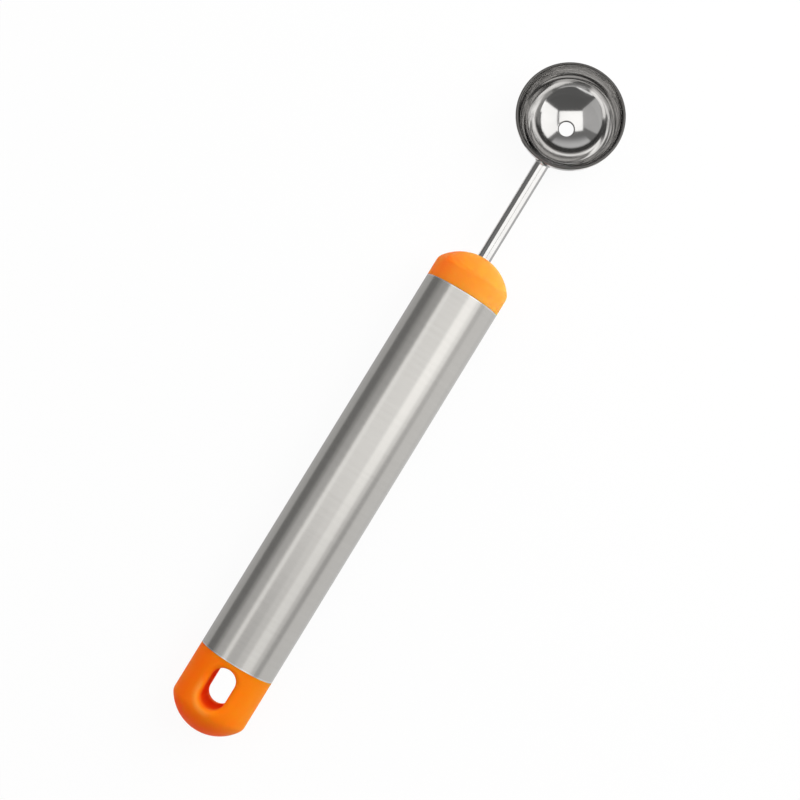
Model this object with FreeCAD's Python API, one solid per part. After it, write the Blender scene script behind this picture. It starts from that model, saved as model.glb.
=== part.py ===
import FreeCAD, Part
import math
import os

from FreeCAD import Vector

# A melon baller: a steel tube with a plastic cap pressed into each end, a rod held in the front cap, and a
# round steel bowl welded to the rod.
# Frame: +X runs along the handle towards the bowl, +Z points up out of the bowl's mouth, and Z = 0 is the
# surface that the tool lies on. The origin is under the middle of the overall length.
# Lengths are in millimetres and angles in degrees.

# Handle tube
TUBE_DIAMETER = 22.0
TUBE_WALL = 0.5
TUBE_LENGTH = 116.6
TUBE_EDGE_ROUND = 0.25

# Both caps: a dome, a body flush with the tube, and a ribbed spigot inside the tube
DOME_CORNER_ROUND = 0.6
CAP_SEAM_ROUND = 0.3
SPIGOT_CLEARANCE = 0.25
SPIGOT_WALL = 1.8
SPIGOT_LEAD_IN = 0.6
CRUSH_RIB_COUNT = 8
CRUSH_RIB_WIDTH = 1.2

# Rear cap, with the slot that the tool hangs from
REAR_DOME_HEIGHT = 6.4
REAR_SPIGOT_LENGTH = 14.0
SLOT_WIDTH = 7.0
SLOT_LENGTH = 11.8
SLOT_TO_TUBE = 1.7
SLOT_TO_DOME = 1.3
SLOT_LIP_ROUND = 1.0

# Front cap, moulded round the end of the rod
FRONT_BODY_LENGTH = 5.6
FRONT_DOME_HEIGHT = 6.1
FRONT_SPIGOT_LENGTH = 18.0
FRONT_CORE_FLOOR = 2.5
BOSS_WALL = 1.8
BOSS_WEB_COUNT = 4
BOSS_WEB_THICKNESS = 1.5

# Rod, with a flattened wing that the front cap grips
ROD_DIAMETER = 4.0
ROD_SHOWN_LENGTH = 30.1
ROD_END_COVER = 2.0
WING_LENGTH = 7.0
WING_OVERHANG = 1.2
WING_FLAT_DEPTH = 1.1
WING_TO_ROD_END = 2.0

# Bowl
BOWL_DIAMETER = 30.0
BOWL_WALL = 0.8
BOWL_RIM_ROUND = 0.38
BOWL_TILT = 3.5
RIM_ABOVE_ROD_AXIS = 4.0
VENT_HOLE_DIAMETER = 4.2

# Weld between rod and bowl
WELD_LEG = 0.5
WELD_ROUND = 0.4

# Sizes and places that follow from those above
TUBE_RADIUS = TUBE_DIAMETER / 2
TUBE_BORE_RADIUS = TUBE_RADIUS - TUBE_WALL
SPIGOT_RADIUS = TUBE_BORE_RADIUS - SPIGOT_CLEARANCE
CORE_RADIUS = SPIGOT_RADIUS - SPIGOT_WALL
ROD_RADIUS = ROD_DIAMETER / 2
WING_WIDTH = ROD_DIAMETER + 2 * WING_OVERHANG
WING_THICKNESS = ROD_DIAMETER - 2 * WING_FLAT_DEPTH
BOSS_RADIUS = WING_WIDTH / 2 + BOSS_WALL
BOWL_RADIUS = BOWL_DIAMETER / 2

REAR_BODY_LENGTH = SLOT_TO_TUBE + SLOT_LENGTH + SLOT_TO_DOME
REAR_CAP_LENGTH = REAR_BODY_LENGTH + REAR_DOME_HEIGHT
FRONT_CAP_LENGTH = FRONT_BODY_LENGTH + FRONT_DOME_HEIGHT
HANDLE_LENGTH = REAR_CAP_LENGTH + TUBE_LENGTH + FRONT_CAP_LENGTH
OVERALL_LENGTH = HANDLE_LENGTH + ROD_SHOWN_LENGTH + BOWL_DIAMETER

TUBE_REAR_X = REAR_CAP_LENGTH - OVERALL_LENGTH / 2
TUBE_FRONT_X = TUBE_REAR_X + TUBE_LENGTH
ROD_END_X = TUBE_FRONT_X - FRONT_SPIGOT_LENGTH + ROD_END_COVER
BOWL_X = OVERALL_LENGTH / 2 - BOWL_RADIUS

# The lower one of handle and bowl lies on the surface. At these sizes both do.
AXIS_Z = max(TUBE_RADIUS, BOWL_RADIUS - RIM_ABOVE_ROD_AXIS)
BOWL_CENTRE = Vector(BOWL_X, 0, AXIS_Z + RIM_ABOVE_ROD_AXIS)

ORIGIN = Vector(0, 0, 0)
X_AXIS = Vector(1, 0, 0)
Y_AXIS = Vector(0, 1, 0)
Z_AXIS = Vector(0, 0, 1)

# Cutting tools run this far past the faces that they cut through.
OVERCUT = 1.0
# An edge is known by this many points along it, each within this distance of where the edge should be.
EDGE_POINTS = 5
TOUCH = 1e-4


def near(value, wanted):
    return abs(value - wanted) < TOUCH


def edges_where(solid, test):
    """The edges of a solid whose points all pass a test."""
    found = []
    for edge in solid.Edges:
        if edge.Degenerated:
            continue
        if all(test(point) for point in edge.discretize(EDGE_POINTS)):
            found.append(edge)
    return found


def hoop_edges(solid, x, radius):
    """The edges that run round the X axis at the given place and radius."""
    return edges_where(solid, lambda p: near(p.x, x) and near(math.hypot(p.y, p.z), radius))


def bar_along_x(radius, start_x, end_x, height=0.0):
    """A round bar about a line parallel to X."""
    return Part.makeCylinder(radius, end_x - start_x, Vector(start_x, 0, height), X_AXIS)


def arc(start, middle, end):
    return Part.Arc(start, middle, end).toShape()


def turned(outline, axis):
    """The solid that a closed outline sweeps in a full turn about an axis through the origin."""
    return Part.Face(Part.Wire(outline)).revolve(ORIGIN, axis, 360)


def fins_round_x(count, start_angle, start_x, length, thickness, height):
    """Flat fins that stand out from the X axis, evenly spaced round it."""
    fins = []
    for index in range(count):
        fin = Part.makeBox(length, thickness, height)
        fin.translate(Vector(start_x, -thickness / 2, 0))
        fin.rotate(ORIGIN, X_AXIS, start_angle + index * 360 / count)
        fins.append(fin)
    return fins


def domed_body(length, dome_height):
    """The outside of a cap: as thick as the tube, from x = 0 to a spherical dome at its far end."""
    ball_radius = (TUBE_RADIUS**2 + dome_height**2) / (2 * dome_height)
    ball_x = length + dome_height - ball_radius
    half_angle = math.asin(TUBE_RADIUS / ball_radius) / 2
    seam = Vector(0, 0, TUBE_RADIUS)
    corner = Vector(length, 0, TUBE_RADIUS)
    slope = Vector(ball_x + ball_radius * math.cos(half_angle), 0, ball_radius * math.sin(half_angle))
    tip = Vector(length + dome_height, 0, 0)
    outline = [
        Part.makeLine(ORIGIN, seam),
        Part.makeLine(seam, corner),
        arc(corner, slope, tip),
        Part.makeLine(tip, ORIGIN),
    ]
    body = turned(outline, X_AXIS)
    body = body.makeFillet(DOME_CORNER_ROUND, hoop_edges(body, length, TUBE_RADIUS))
    return body.makeFillet(CAP_SEAM_ROUND, hoop_edges(body, 0, TUBE_RADIUS))


def ribbed_spigot(length):
    """The part of a cap inside the tube, towards -X, with ribs whose crests bear on the tube's bore."""
    spigot = bar_along_x(SPIGOT_RADIUS, -length, 0)
    spigot = spigot.makeChamfer(SPIGOT_LEAD_IN, hoop_edges(spigot, -length, SPIGOT_RADIUS))
    rib_length = length - SPIGOT_LEAD_IN
    rib_space = bar_along_x(TUBE_BORE_RADIUS, -rib_length, 0)
    spacing = 360 / CRUSH_RIB_COUNT
    fins = fins_round_x(CRUSH_RIB_COUNT, spacing / 2, -rib_length, rib_length, CRUSH_RIB_WIDTH, TUBE_RADIUS)
    return spigot.fuse([rib_space.common(fin) for fin in fins])


def cap_blank(body_length, dome_height, spigot_length):
    """A cap before it is hollowed, with its seam against the tube at x = 0 and its dome towards +X."""
    body = domed_body(body_length, dome_height)
    return body.fuse(ribbed_spigot(spigot_length)).removeSplitter()


def hanging_slot():
    """The space of the slot: an upright bar with round ends, seen from above a stadium along X."""
    radius = SLOT_WIDTH / 2
    start = SLOT_TO_TUBE + radius
    end = SLOT_TO_TUBE + SLOT_LENGTH - radius
    floor = -TUBE_RADIUS - OVERCUT
    start_right = Vector(start, -radius, floor)
    start_left = Vector(start, radius, floor)
    end_right = Vector(end, -radius, floor)
    end_left = Vector(end, radius, floor)
    outline = [
        Part.makeLine(start_right, end_right),
        arc(end_right, Vector(end + radius, 0, floor), end_left),
        Part.makeLine(end_left, start_left),
        arc(start_left, Vector(start - radius, 0, floor), start_right),
    ]
    return Part.Face(Part.Wire(outline)).extrude(Z_AXIS * (-2 * floor))


def in_slot_mouth(point):
    """Whether a point lies where the slot comes out of the round side of the cap."""
    on_side = near(math.hypot(point.y, point.z), TUBE_RADIUS)
    in_width = abs(point.y) < SLOT_WIDTH / 2 + TOUCH
    in_length = -TOUCH < point.x - SLOT_TO_TUBE < SLOT_LENGTH + TOUCH
    return on_side and in_width and in_length


def rear_cap():
    cap = cap_blank(REAR_BODY_LENGTH, REAR_DOME_HEIGHT, REAR_SPIGOT_LENGTH)
    cap = cap.cut(bar_along_x(CORE_RADIUS, -REAR_SPIGOT_LENGTH - OVERCUT, 0))
    cap = cap.cut(hanging_slot())
    # The lip stays clear of the rounded edges beside the slot.
    lip = min(SLOT_LIP_ROUND, SLOT_TO_DOME - DOME_CORNER_ROUND / 2, SLOT_TO_TUBE - CAP_SEAM_ROUND)
    cap = cap.makeFillet(lip, edges_where(cap, in_slot_mouth))
    cap.rotate(ORIGIN, Z_AXIS, 180)
    cap.translate(Vector(TUBE_REAR_X, 0, AXIS_Z))
    return cap


def front_cap(rod):
    """The cap that holds the rod: hollow inside the tube but for a boss round the rod and its webs."""
    cap = cap_blank(FRONT_BODY_LENGTH, FRONT_DOME_HEIGHT, FRONT_SPIGOT_LENGTH)
    start_x = -FRONT_SPIGOT_LENGTH - OVERCUT
    core = bar_along_x(CORE_RADIUS, start_x, -FRONT_CORE_FLOOR)
    core = core.cut(bar_along_x(BOSS_RADIUS, start_x, 0))
    core = core.cut(fins_round_x(BOSS_WEB_COUNT, 0, start_x, -start_x, BOSS_WEB_THICKNESS, TUBE_RADIUS))
    cap = cap.cut(core)
    cap.translate(Vector(TUBE_FRONT_X, 0, AXIS_Z))
    return cap.cut(rod)


def handle_tube():
    tube = bar_along_x(TUBE_RADIUS, TUBE_REAR_X, TUBE_FRONT_X)
    ends = hoop_edges(tube, TUBE_REAR_X, TUBE_RADIUS) + hoop_edges(tube, TUBE_FRONT_X, TUBE_RADIUS)
    tube = tube.makeFillet(TUBE_EDGE_ROUND, ends)
    tube = tube.cut(bar_along_x(TUBE_BORE_RADIUS, TUBE_REAR_X - OVERCUT, TUBE_FRONT_X + OVERCUT))
    tube.translate(Vector(0, 0, AXIS_Z))
    return tube


def bowl_ball(radius):
    """A ball about the centre of the bowl."""
    return Part.makeSphere(radius, BOWL_CENTRE)


def neck_rod():
    """The rod, cut to fit the bowl at one end and flattened into a wing near the other."""
    wing_start = ROD_END_X + WING_TO_ROD_END
    wing_end = wing_start + WING_LENGTH
    tail = bar_along_x(ROD_RADIUS, ROD_END_X, wing_start, AXIS_Z)
    wing = Part.makeBox(WING_LENGTH, WING_WIDTH, WING_THICKNESS)
    wing.translate(Vector(wing_start, -WING_WIDTH / 2, AXIS_Z - WING_THICKNESS / 2))
    shank = bar_along_x(ROD_RADIUS, wing_end, BOWL_X, AXIS_Z)
    return tail.fuse([wing, shank]).cut(bowl_ball(BOWL_RADIUS))


def weld_bead(rod):
    """A rounded collar of weld metal that reaches as far along the rod as out on the bowl."""
    outer_radius = ROD_RADIUS + WELD_LEG
    reach = BOWL_RADIUS + WELD_LEG
    bead = bar_along_x(outer_radius, BOWL_X - reach, BOWL_X, AXIS_Z).common(bowl_ball(reach))
    bead = bead.cut([bowl_ball(BOWL_RADIUS), rod])

    def on_crest(point):
        on_ball = near(point.distanceToPoint(BOWL_CENTRE), reach)
        return on_ball and near(math.hypot(point.y, point.z - AXIS_Z), outer_radius)

    return bead.makeFillet(WELD_ROUND, edges_where(bead, on_crest))


def scoop_bowl():
    """Half of a hollow ball, with a rounded rim and a vent hole at the bottom."""
    inner_radius = BOWL_RADIUS - BOWL_WALL
    bottom = Vector(0, 0, -1)
    rim = Vector(1, 0, 0)
    slope = (bottom + rim).normalize()
    outline = [
        arc(rim * BOWL_RADIUS, slope * BOWL_RADIUS, bottom * BOWL_RADIUS),
        Part.makeLine(bottom * BOWL_RADIUS, bottom * inner_radius),
        arc(bottom * inner_radius, slope * inner_radius, rim * inner_radius),
        Part.makeLine(rim * inner_radius, rim * BOWL_RADIUS),
    ]
    bowl = turned(outline, Z_AXIS)
    bowl = bowl.makeFillet(BOWL_RIM_ROUND, edges_where(bowl, lambda p: near(p.z, 0)))
    bowl = bowl.cut(Part.makeCylinder(VENT_HOLE_DIAMETER / 2, BOWL_RADIUS + OVERCUT, ORIGIN, bottom))
    bowl.rotate(ORIGIN, Y_AXIS, BOWL_TILT)
    bowl.translate(BOWL_CENTRE)
    return bowl


def main():
    rod = neck_rod()
    pieces = {
        "scoop_bowl": scoop_bowl(),
        "weld_bead": weld_bead(rod),
        "neck_rod": rod,
        "front_cap": front_cap(rod),
        "handle_tube": handle_tube(),
        "rear_cap": rear_cap(),
    }
    os.makedirs("parts", exist_ok=True)
    for name, shape in pieces.items():
        shape.exportStep(f"parts/{name}.step")


main()
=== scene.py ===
"""Melon baller: visible pieces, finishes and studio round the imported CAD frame, as a Blender add-on."""

import math

import bmesh
import bpy
from bpy.props import FloatProperty, FloatVectorProperty, IntProperty, PointerProperty
from mathutils import Matrix, Vector


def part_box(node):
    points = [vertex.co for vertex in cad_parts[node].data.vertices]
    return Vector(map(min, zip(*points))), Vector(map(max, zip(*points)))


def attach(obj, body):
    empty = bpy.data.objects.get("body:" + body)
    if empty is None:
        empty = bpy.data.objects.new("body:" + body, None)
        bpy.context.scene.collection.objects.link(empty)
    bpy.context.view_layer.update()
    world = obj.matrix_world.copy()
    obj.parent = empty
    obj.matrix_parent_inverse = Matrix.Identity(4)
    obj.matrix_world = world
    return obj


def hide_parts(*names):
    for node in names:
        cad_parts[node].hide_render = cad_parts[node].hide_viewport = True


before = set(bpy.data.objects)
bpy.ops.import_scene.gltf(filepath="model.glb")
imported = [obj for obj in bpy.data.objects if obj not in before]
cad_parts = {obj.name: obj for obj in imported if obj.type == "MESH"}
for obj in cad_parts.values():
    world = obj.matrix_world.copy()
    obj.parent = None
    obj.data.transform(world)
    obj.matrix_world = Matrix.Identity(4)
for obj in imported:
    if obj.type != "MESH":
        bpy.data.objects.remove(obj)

bl_info = {
    "name": "Melon Baller",
    "version": (1, 0, 0),
    "blender": (4, 5, 0),
    "location": "View3D > Sidebar > Melon Baller",
    "description": "Builds the pieces, finishes and studio of a melon baller around its CAD frame",
    "category": "Object",
}

MM = 0.001
QUARTER_TURN = math.pi / 2
WELD_DISTANCE = 1e-7
SMOOTH_LIMIT = math.radians(32)
EDGE_STEPS = 5
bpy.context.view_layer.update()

TUBE_LOW, TUBE_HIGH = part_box("handle_tube")
BOWL_LOW, BOWL_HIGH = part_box("scoop_bowl")
ROD_LOW, ROD_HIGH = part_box("neck_rod")
FRONT_LOW, FRONT_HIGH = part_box("front_cap")
REAR_LOW, REAR_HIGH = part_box("rear_cap")

HANDLE_RADIUS = (TUBE_HIGH.z - TUBE_LOW.z) / 2
HANDLE_HEIGHT = (TUBE_HIGH.z + TUBE_LOW.z) / 2
BOWL_RADIUS = (BOWL_HIGH.y - BOWL_LOW.y) / 2
ROD_RADIUS = (ROD_HIGH.z - ROD_LOW.z) / 2


def length(label, text, millimetres):
    """A property that holds a length, given in millimetres and kept in metres."""
    return FloatProperty(
        name=label, description=text, default=millimetres * MM, unit="LENGTH", precision=5, min=0.0,
    )


def angle(label, text, degrees):
    """A property that holds an angle, given in degrees and kept in radians."""
    return FloatProperty(name=label, description=text, default=math.radians(degrees), subtype="ANGLE")


def share(label, text, default):
    """A property that holds a number from 0 to 1."""
    return FloatProperty(name=label, description=text, default=default, subtype="FACTOR", min=0.0, max=1.0)


def light(label, text, default):
    """A property that holds the light of a surface, where 1 is white."""
    return FloatProperty(name=label, description=text, default=default, min=0.0)


def paint(label, text, default):
    """A property that holds a linear colour."""
    return FloatVectorProperty(
        name=label, description=text, default=default, subtype="COLOR", min=0.0, max=1.0,
    )


def spot(label, text, default):
    """A property that holds a place in the frame."""
    return FloatVectorProperty(name=label, description=text, default=default, subtype="TRANSLATION")


class BallerSizes(bpy.types.PropertyGroup):
    """Sizes of the forms that the CAD nodes' boxes don't give."""

    tube_wall: length("Tube wall", "Sheet thickness of the handle tube", 0.5)
    tube_round: length("Tube edge round", "Round on the outer edges of the tube", 0.1)
    seam_round: length("Cap seam round", "Round on a cap's edge beside the tube", 0.15)
    dome_round: length("Dome corner round", "Round where a cap's dome meets its side", 3.0)
    rear_dome: length("Rear dome height", "Height of the dome on the rear cap", 6.4)
    front_dome: length("Front dome height", "Height of the dome on the front cap", 6.1)
    spigot_gap: length("Spigot gap", "Room between a cap's spigot and the tube", 0.25)
    spigot_wall: length("Spigot wall", "Wall of the rear cap's hollow spigot", 1.8)
    spigot_chamfer: length("Spigot lead-in", "Chamfer on the end of a spigot", 0.6)
    rear_spigot: length("Rear spigot", "Length of the rear cap's spigot", 14.0)
    front_spigot: length("Front spigot", "Length of the front cap's spigot", 18.0)
    slot_width: length("Slot width", "Width of the hanging slot", 7.0)
    slot_length: length("Slot length", "Length of the hanging slot", 11.8)
    slot_to_tube: length("Slot to tube", "Material between the slot and the tube", 1.7)
    slot_lip: length("Slot lip round", "Round on the slot's mouths", 1.2)
    bowl_wall: length("Bowl wall", "Sheet thickness of the bowl", 0.8)
    rim_round: length("Rim round", "Round on the bowl's rim", 0.38)
    rim_above_rod: length("Rim above rod", "Height of the bowl's centre over the rod's axis", 4.0)
    bowl_tilt: angle("Bowl tilt", "Angle that the bowl leans by towards its tip", 3.5)
    vent_radius: length("Vent radius", "Radius of the vent hole in the bowl", 2.1)
    vent_round: length("Vent edge round", "Round on the edges of the vent hole", 0.3)
    weld_leg: length("Weld leg", "Reach of the weld bead on rod and bowl", 0.35)
    rod_chamfer: length("Rod chamfer", "Chamfer on the rod's end in the front cap", 0.3)
    turn_steps: IntProperty(
        name="Turning steps", description="Faces round a turned piece", default=128, min=32,
    )
    bowl_steps: IntProperty(name="Bowl steps", description="Faces round the bowl", default=192, min=32)


class BallerFinishes(bpy.types.PropertyGroup):
    """Colours and gloss of the finishes, and the colours of their painted light, shade, highlights and
    reflections.
    """

    orange_light: paint("Orange", "Main colour of the moulded caps", (1.0, 0.23, 0.006))
    # Painted light on the front cap, most on its -Y side, and a painted highlight on the slot's lip.
    orange_painted_light: paint("Pale orange", "Colour of the front cap and the slot's lip", (1.0, 0.385, 0.058))
    # Painted shade on the rear dome and the caps' +Y side.
    orange_painted_shade: paint("Deep orange", "Colour of the rear dome and the caps' +Y side", (1.0, 0.073, 0.003))
    # Painted shade and red bounce light on the slot's wall.
    orange_painted_slot_shade: paint("Red orange", "Painted red bounce light and shade on the slot's wall", (1.0, 0.062, 0.003))
    plastic_roughness: share("Plastic roughness", "Roughness of the moulded caps", 0.45)
    mirror_light: paint("Polished steel", "Colour of bowl and rod", (0.68, 0.674, 0.667))
    mirror_dull: paint("Wiped steel", "Colour where the polish has left a haze", (0.63, 0.624, 0.617))
    # Painted bright reflection: a ring and the upper inner wall of the bowl, on the rod's side.
    mirror_painted_bright_ring: paint("Painted bright ring", "Colour of the bowl's wall beside the rod", (0.92, 0.913, 0.905))
    # Painted dark reflection on the bowl's upper inner wall, towards the tip, in streaks.
    mirror_painted_dark_band: paint("Painted dark band", "Painted dark reflection towards the bowl's tip", (0.25, 0.244, 0.238))
    # Painted dark reflection on the bowl's rim and vent edge.
    mirror_painted_dark_rim: paint("Painted dark rim", "Painted dark reflection on the bowl's rim and vent edge", (0.16, 0.155, 0.15))
    mirror_roughness: share("Polish roughness", "Roughness of bowl and rod", 0.12)
    brushed_light: paint("Brushed steel", "Colour of the tube on its bright strokes", (0.632, 0.616, 0.588))
    brushed_dark: paint("Brushed, dark", "Colour of the tube on its dark strokes", (0.608, 0.592, 0.564))
    # Painted highlight round the tube's two ends.
    brushed_painted_highlight: paint("Painted end highlight", "Painted highlight round the tube's ends", (0.74, 0.73, 0.71))
    brushed_roughness: share("Brushed roughness", "Roughness of the tube across its strokes", 0.22)
    brushed_tilt: FloatProperty(
        name="Stroke tilt", description="How far the strokes tip the light", default=1.0,
    )


class BallerStudio(bpy.types.PropertyGroup):
    """Camera, floor, the panels of the light tent and the light cards inside it."""

    camera_place: spot("Camera", "Where the camera stands", (-0.019818, -0.032973, 0.521854))
    camera_aim: spot("Aim", "Point that the camera looks at", (-0.000241, -0.000571, 0.011))
    camera_lens: FloatProperty(name="Lens", description="Focal length in millimetres", default=84.81)
    camera_sensor: FloatProperty(name="Sensor", description="Sensor width in millimetres", default=36.0)
    handle_slant: angle("Handle slant", "Angle of the handle in the picture", 58.498)
    floor_size: length("Floor size", "Side of the floor", 4000)
    floor_white: share("Floor white", "Part of the light that the floor gives back", 0.92)
    floor_glow: share("Floor glow", "Share of the floor's white that doesn't take shadow", 0.93)
    mirror_glow: share("Floor glow in metal", "The same share where metal mirrors the floor", 0.25)
    tent_size: length("Tent size", "Half the height of the tent", 1200)
    key_strength: light("Key panels", "Light of the top and right panels", 1.43)
    left_strength: light("Left panel", "Light of the left panel", 0.524)
    far_strength: light("Far panel, top", "Light of the far panel's top", 0.24)
    far_foot: light("Far panel, foot", "Light of the far panel's foot", 0.62)
    dark_strength: light("Open side", "Light of the tent's open side", 0.1175)
    cloth_strength: light("Tent cloth", "Light of the cloth between panels", 0.2)
    slot_strength: light("Slot card", "Light of the card under the hanging slot", 0.9)
    tube_card_radius: length("Tube cards", "Distance of the tube's light cards from its axis", 30)
    rod_card_radius: length("Rod cards", "Distance of the rod's light cards from its axis", 9)
    lamp_level: light("Soft lamp", "Light of the soft lamp on a matt surface", 0.40)
    lamp_turn: angle("Lamp turn", "Side that the soft lamp stands on", -42)
    lamp_rise: angle("Lamp rise", "Height angle of the soft lamp", 54)
    lamp_distance: length("Lamp distance", "Distance of the soft lamp", 500)
    lamp_size: length("Lamp size", "Side of the soft lamp", 350)
    lamp_aim: spot("Lamp aim", "Point that the soft lamp shines at", (0.02, 0.0, HANDLE_HEIGHT))


class Wire:
    """An output socket that takes part in Python expressions, each of which adds a Math node."""

    def __init__(self, sheet, socket):
        self.sheet = sheet
        self.socket = socket

    def output(self, name):
        """Another output of the same node."""
        return Wire(self.sheet, self.socket.node.outputs[name])

    def _math(self, operation, first, second):
        return self.sheet.node("ShaderNodeMath", {"operation": operation}, {0: first, 1: second})

    def __add__(self, other):
        return self._math("ADD", self, other)

    def __radd__(self, other):
        return self._math("ADD", other, self)

    def __sub__(self, other):
        return self._math("SUBTRACT", self, other)

    def __rsub__(self, other):
        return self._math("SUBTRACT", other, self)

    def __mul__(self, other):
        return self._math("MULTIPLY", self, other)

    def __rmul__(self, other):
        return self._math("MULTIPLY", other, self)


class NodeSheet:
    """The node tree of one finish, emptied and ready for new nodes."""

    def __init__(self, owner):
        owner.use_nodes = True
        self.tree = owner.node_tree
        self.tree.nodes.clear()

    def node(self, kind, settings=None, inputs=None, output=0):
        """A node of this type, with its settings made first and then its sockets filled or linked."""
        node = self.tree.nodes.new(kind)
        for name, value in (settings or {}).items():
            setattr(node, name, value)
        for key, value in (inputs or {}).items():
            if isinstance(value, Wire):
                self.tree.links.new(value.socket, node.inputs[key])
            else:
                node.inputs[key].default_value = value
        return Wire(self, node.outputs[output]) if node.outputs else None

    def place(self):
        """The point on the piece, in its own frame."""
        return self.node("ShaderNodeTexCoord", output="Object")

    def facing(self):
        """The way that the surface faces."""
        return self.node("ShaderNodeNewGeometry", output="Normal")

    def vector(self, operation, *operands, output=0):
        """The result of a vector operation on one or two vectors."""
        return self.node("ShaderNodeVectorMath", {"operation": operation}, dict(enumerate(operands)), output)

    def split(self, vector):
        """The X, Y and Z of a vector."""
        parts = self.node("ShaderNodeSeparateXYZ", inputs={0: vector})
        return [parts.output(axis) for axis in "XYZ"]

    def noise(self, vector, scale, detail, roughness=0.5):
        """Soft noise between 0 and 1."""
        inputs = {"Vector": vector, "Scale": scale, "Detail": detail, "Roughness": roughness}
        return self.node("ShaderNodeTexNoise", inputs=inputs)

    def streaks(self, point, scales, detail, roughness=0.5):
        """Noise with a scale for each axis, drawn out along those with a small one."""
        return self.noise(self.vector("MULTIPLY", point, scales), 1.0, detail, roughness)

    def mixed(self, factor, first, second):
        """A colour between two others, each given as numbers or as another node's colour."""
        ends = [end if isinstance(end, Wire) else (*end, 1.0) for end in (first, second)]
        settings = {"data_type": "RGBA", "clamp_factor": True}
        return self.node("ShaderNodeMix", settings, {0: factor, 6: ends[0], 7: ends[1]}, output=2)

    def ranged(self, value, low, high):
        """0 below low, 1 above high, and a smooth change between them."""
        settings = {"interpolation_type": "SMOOTHSTEP"}
        return self.node("ShaderNodeMapRange", settings, {"Value": value, "From Min": low, "From Max": high})

    def leaned(self, normal, turn, amount):
        """A normal drawn towards the upright, which is itself turned along the handle by an angle."""
        upright = (math.sin(turn), 0.0, math.cos(turn))
        pull = self.node("ShaderNodeVectorMath", {"operation": "SCALE"}, {0: upright, "Scale": amount})
        return self.vector("ADD", normal, pull)

    def surface(self, shader):
        """Joins a shader to the output."""
        self.node("ShaderNodeOutputMaterial", inputs={"Surface": shader})


def mirror_polish(sheet, look, point):
    """Colour and roughness of polished steel with a faint cloudy haze."""
    haze_scale = 160.0
    haze_levels = (0.35, 0.75)
    haze = sheet.noise(point, haze_scale, 3.0)
    colour = sheet.mixed(sheet.ranged(haze, *haze_levels), look.mirror_light, look.mirror_dull)
    return colour, look.mirror_roughness * (0.6 + 0.5 * haze)


def polished_steel(sheet, look):
    """Mirror polish with a faint haze and fine wipe streaks in its roughness along the rod."""
    wipe_scales = (150.0, 5200.0, 5200.0)
    wipe_levels = (0.55, 0.75)
    wipe_roughness = 0.04
    colour, roughness = mirror_polish(sheet, look, sheet.place())
    wipes = sheet.streaks(sheet.place(), wipe_scales, 3.0, 0.65)
    sheet.surface(sheet.node("ShaderNodeBsdfPrincipled", inputs={
        "Base Color": colour,
        "Metallic": 1.0,
        "Roughness": roughness + wipe_roughness * sheet.ranged(wipes, *wipe_levels),
    }))


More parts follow.
